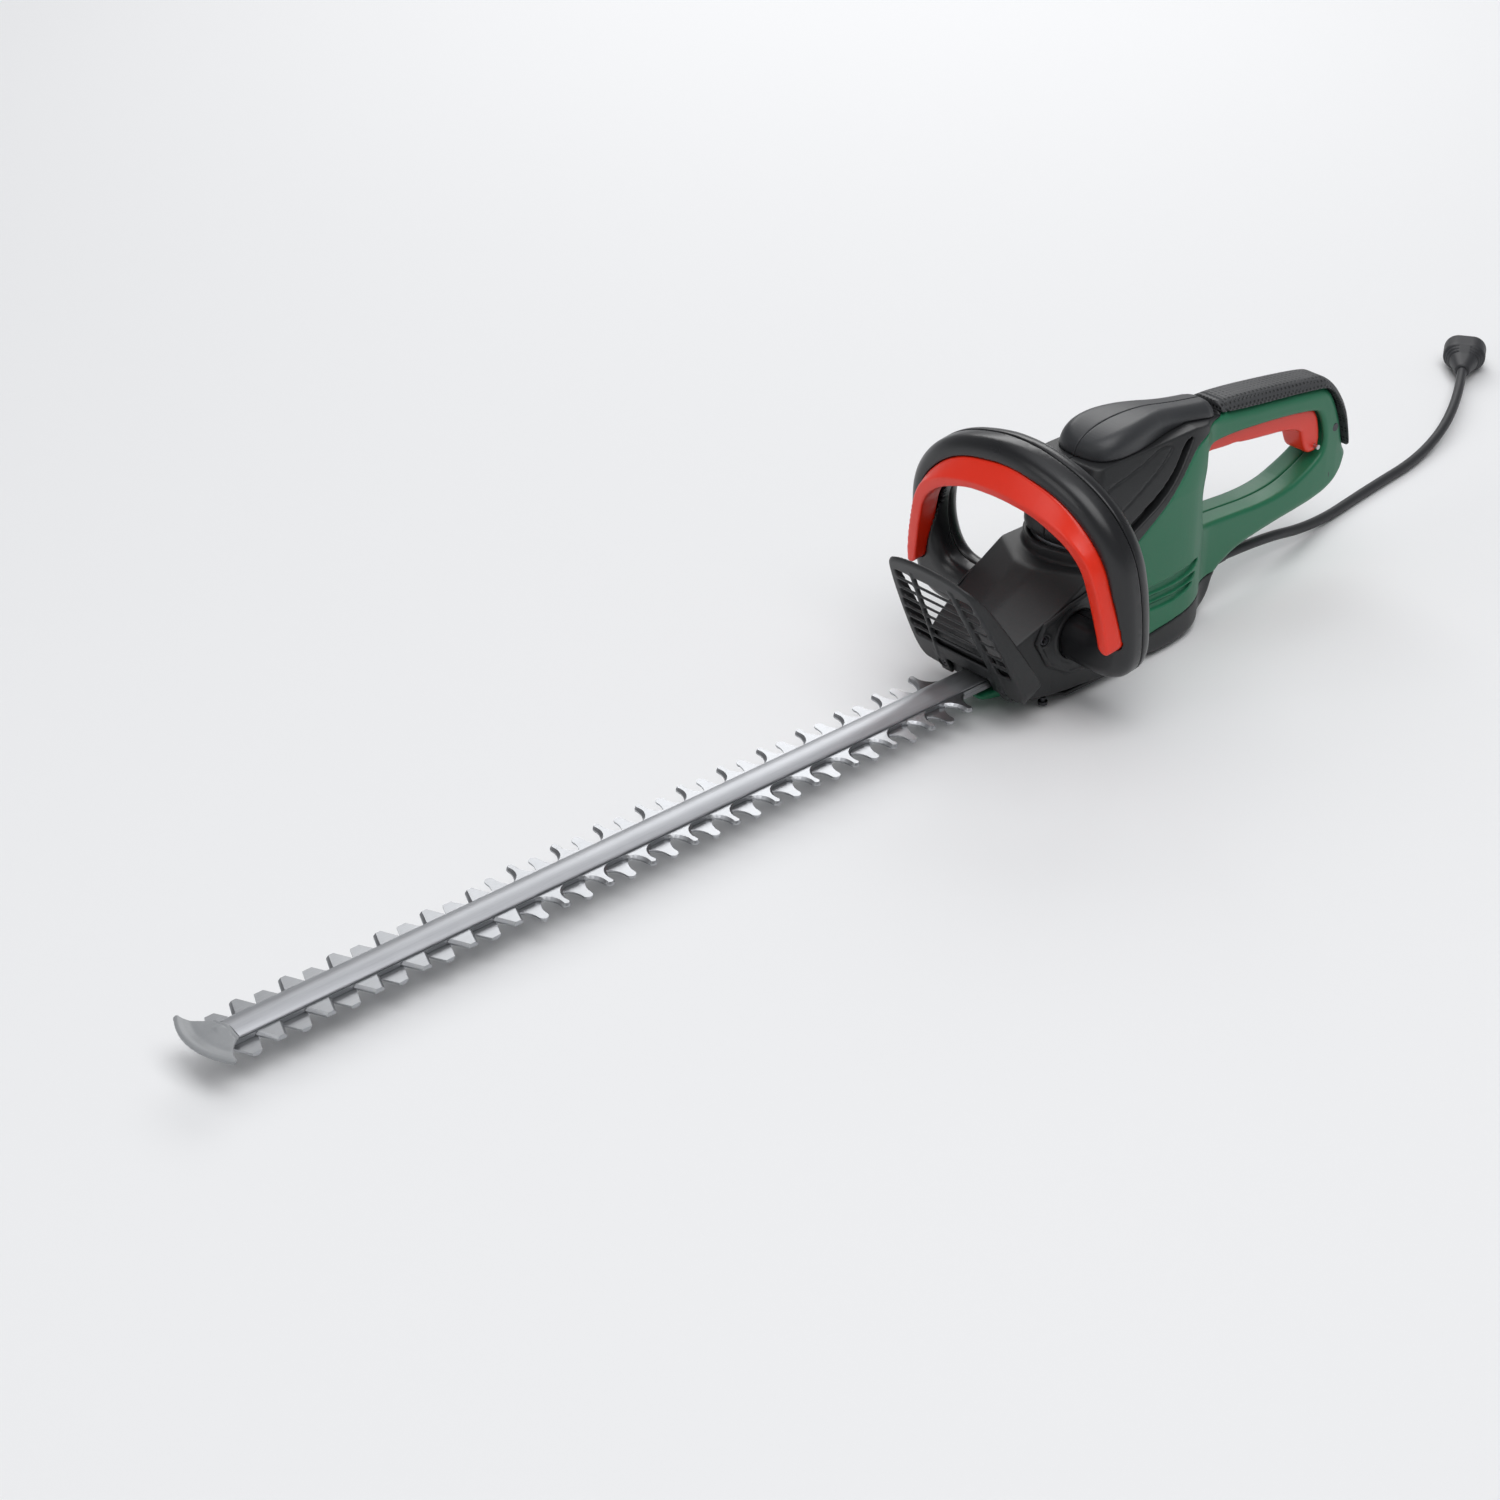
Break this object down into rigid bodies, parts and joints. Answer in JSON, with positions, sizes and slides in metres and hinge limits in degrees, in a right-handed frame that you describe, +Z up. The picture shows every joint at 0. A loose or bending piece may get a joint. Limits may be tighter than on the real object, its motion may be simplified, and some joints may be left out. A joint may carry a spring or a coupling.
{
  "type": "corded hedge trimmer",
  "caption": "Corded hedge trimmer: long two-sided reciprocating blades on a guide rail, hand guard, bail handle with switch bar, D-shaped rear handle with trigger, trailing cord.",
  "frame": {"origin": "bottom centre of the tool's box without its cord; z = 0 is the flat underside of the body", "axes": "+X from the blade tip towards the rear handle, +Z up, +Y to the tool's right seen from the rear handle looking at the blade tip; the tool lies with its blade level"},
  "size_m": [1.4815, 0.2637, 0.203],
  "materials": {
    "blade_steel": "ground faces, dark flanks",
    "rail_aluminium": "satin, drawn lengthwise",
    "cast_tip": "fine cast, light grey",
    "bolt_steel": "blackened",
    "gear_steel": "machined",
    "lamination_steel": "stacked sheets",
    "bracket_aluminium": "cast",
    "bush_bronze": "sintered",
    "copper_wire": "enamelled",
    "pin_brass": "nickel over brass",
    "carbon": "dry graphite",
    "black_plastic": "fine spark texture",
    "dark_plastic": "smooth satin",
    "green_plastic": "fine spark texture",
    "red_plastic": "satin gloss",
    "grip_rubber": "raised diamond dots",
    "cord_rubber": "smooth"
  },
  "bodies": {
    "trimmer": {"guide_rail": "rail_aluminium", "blade_bolts": "bolt_steel", "rail_screw": "bolt_steel", "tip_screw": "bolt_steel", "tip_protector": "cast_tip", "hand_guard": "black_plastic", "guard_screws": "bolt_steel", "gear_housing": "black_plastic", "gear_cover": "green_plastic", "cover_screws": "bolt_steel", "side_cover_left": "black_plastic", "side_cover_right": "black_plastic", "side_screws": "bolt_steel", "bearing_bracket": "bracket_aluminium", "gear_bush": "bush_bronze", "motor_bearings": "gear_steel", "stator_core": "lamination_steel", "field_coils": "copper_wire", "brush_holders": "bush_bronze", "carbon_brushes": "carbon", "motor_shell_left": "green_plastic", "motor_shell_right": "green_plastic", "motor_hood_left": "black_plastic", "motor_hood_right": "black_plastic", "bottom_shell": "black_plastic", "top_cap_left": "dark_plastic", "top_cap_right": "dark_plastic", "housing_screws": "bolt_steel", "handle_grip": "grip_rubber", "trigger_pin": "gear_steel", "trigger_spring": "gear_steel", "switch_box": "dark_plastic", "front_handle_front": "black_plastic", "front_handle_rear": "black_plastic", "bail_screws": "bolt_steel", "strain_relief": "cord_rubber", "cord": "cord_rubber", "plug": "cord_rubber", "plug_pins": "pin_brass"},
    "upper_blade_bar": {"upper_blade": "blade_steel"},
    "lower_blade_bar": {"lower_blade": "blade_steel"},
    "drive": {"drive_gear": "gear_steel", "lower_crank": "gear_steel", "gear_shaft": "gear_steel"},
    "rotor": {"pinion": "gear_steel", "motor_shaft": "gear_steel", "cooling_fan": "dark_plastic", "armature_core": "lamination_steel", "armature_windings": "copper_wire", "commutator": "copper_wire"},
    "switch_bar": {"front_switch_bar": "red_plastic"},
    "trigger": {"rear_trigger": "red_plastic"}
  },
  "joints": [
    {"name": "upper_blade_slide", "type": "slide", "parent": "trimmer", "child": "upper_blade_bar", "axis": [1, 0, 0], "range_m": [-0.0095, 0.0095]},
    {"name": "lower_blade_slide", "type": "slide", "parent": "trimmer", "child": "lower_blade_bar", "axis": [1, 0, 0], "range_m": [-0.0095, 0.0095]},
    {"name": "drive_spin", "type": "hinge", "parent": "trimmer", "child": "drive", "pos_m": [0.2125, 0, 0.03], "axis": [0, 0, 1], "continuous": true},
    {"name": "rotor_spin", "type": "hinge", "parent": "trimmer", "child": "rotor", "pos_m": [0.25, 0, 0.09], "axis": [0, 0, 1], "continuous": true},
    {"name": "switch_bar_press", "type": "slide", "parent": "trimmer", "child": "switch_bar", "axis": [0.9929, 0, 0.1191], "range_m": [0, 0.004], "stiffness_N_per_m": 1500, "springref_m": -0.002},
    {"name": "trigger_squeeze", "type": "hinge", "parent": "trimmer", "child": "trigger", "pos_m": [0.508, 0, 0.097], "axis": [0, 1, 0], "range_deg": [0, 2.5], "stiffness_Nm_per_rad": 25, "springref_deg": -0.57, "deforming": ["trigger_spring"]}
  ],
  "couplings": [
    {"joint": "lower_blade_slide", "follows": "upper_blade_slide", "ratio": -1},
    {"joint": "rotor_spin", "follows": "drive_spin", "ratio": -7.3333}
  ]
}
